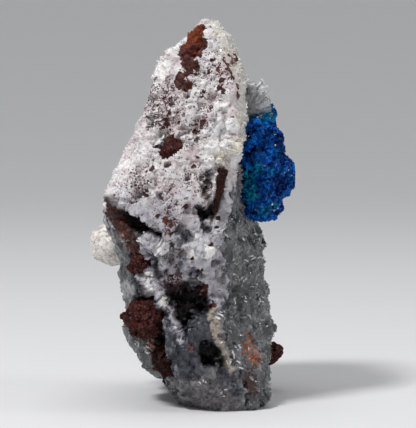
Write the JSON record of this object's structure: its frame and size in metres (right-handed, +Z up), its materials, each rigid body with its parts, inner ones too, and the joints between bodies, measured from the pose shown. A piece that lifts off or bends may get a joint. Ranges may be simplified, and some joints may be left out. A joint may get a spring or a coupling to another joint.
{
  "type": "cavansite cluster",
  "caption": "Blue crystal cluster on a tall plate of white rock with grey crystal crusts and red-brown clasts, standing on its flat foot.",
  "frame": {"origin": "a point on the flat foot, below the middle of the plate", "axes": "+Z up along the plate's length, -Y out of the broken edge with the red-brown clasts, +X out of the druse that carries the blue cluster"},
  "size_m": [0.0323, 0.0337, 0.06],
  "materials": {
    "zeolite_breccia": "rough sugary white to pinkish rock with red-brown specks",
    "grey_druse": "clear to grey crystals with bright facets",
    "cavansite_blue": "deep blue bladed crystals with glassy glints",
    "clear_stilbite": "clear glassy blades",
    "cream_stilbite": "pearly cream ball of fine blades",
    "red_brown_clast": "rough dark red-brown altered basalt"
  },
  "bodies": {
    "root": {"matrix_rock": "zeolite_breccia", "druse_crust_right": "grey_druse", "druse_crust_left": "grey_druse", "cavansite_cluster": "cavansite_blue", "stilbite_fan": "clear_stilbite", "stilbite_ball": "cream_stilbite", "red_clast_large": "red_brown_clast", "red_clast_low": "red_brown_clast", "red_clast_ring": "red_brown_clast", "red_clast_middle": "red_brown_clast", "red_clast_edge": "red_brown_clast", "red_clast_top": "red_brown_clast", "red_plate": "red_brown_clast"}
  },
  "joints": []
}
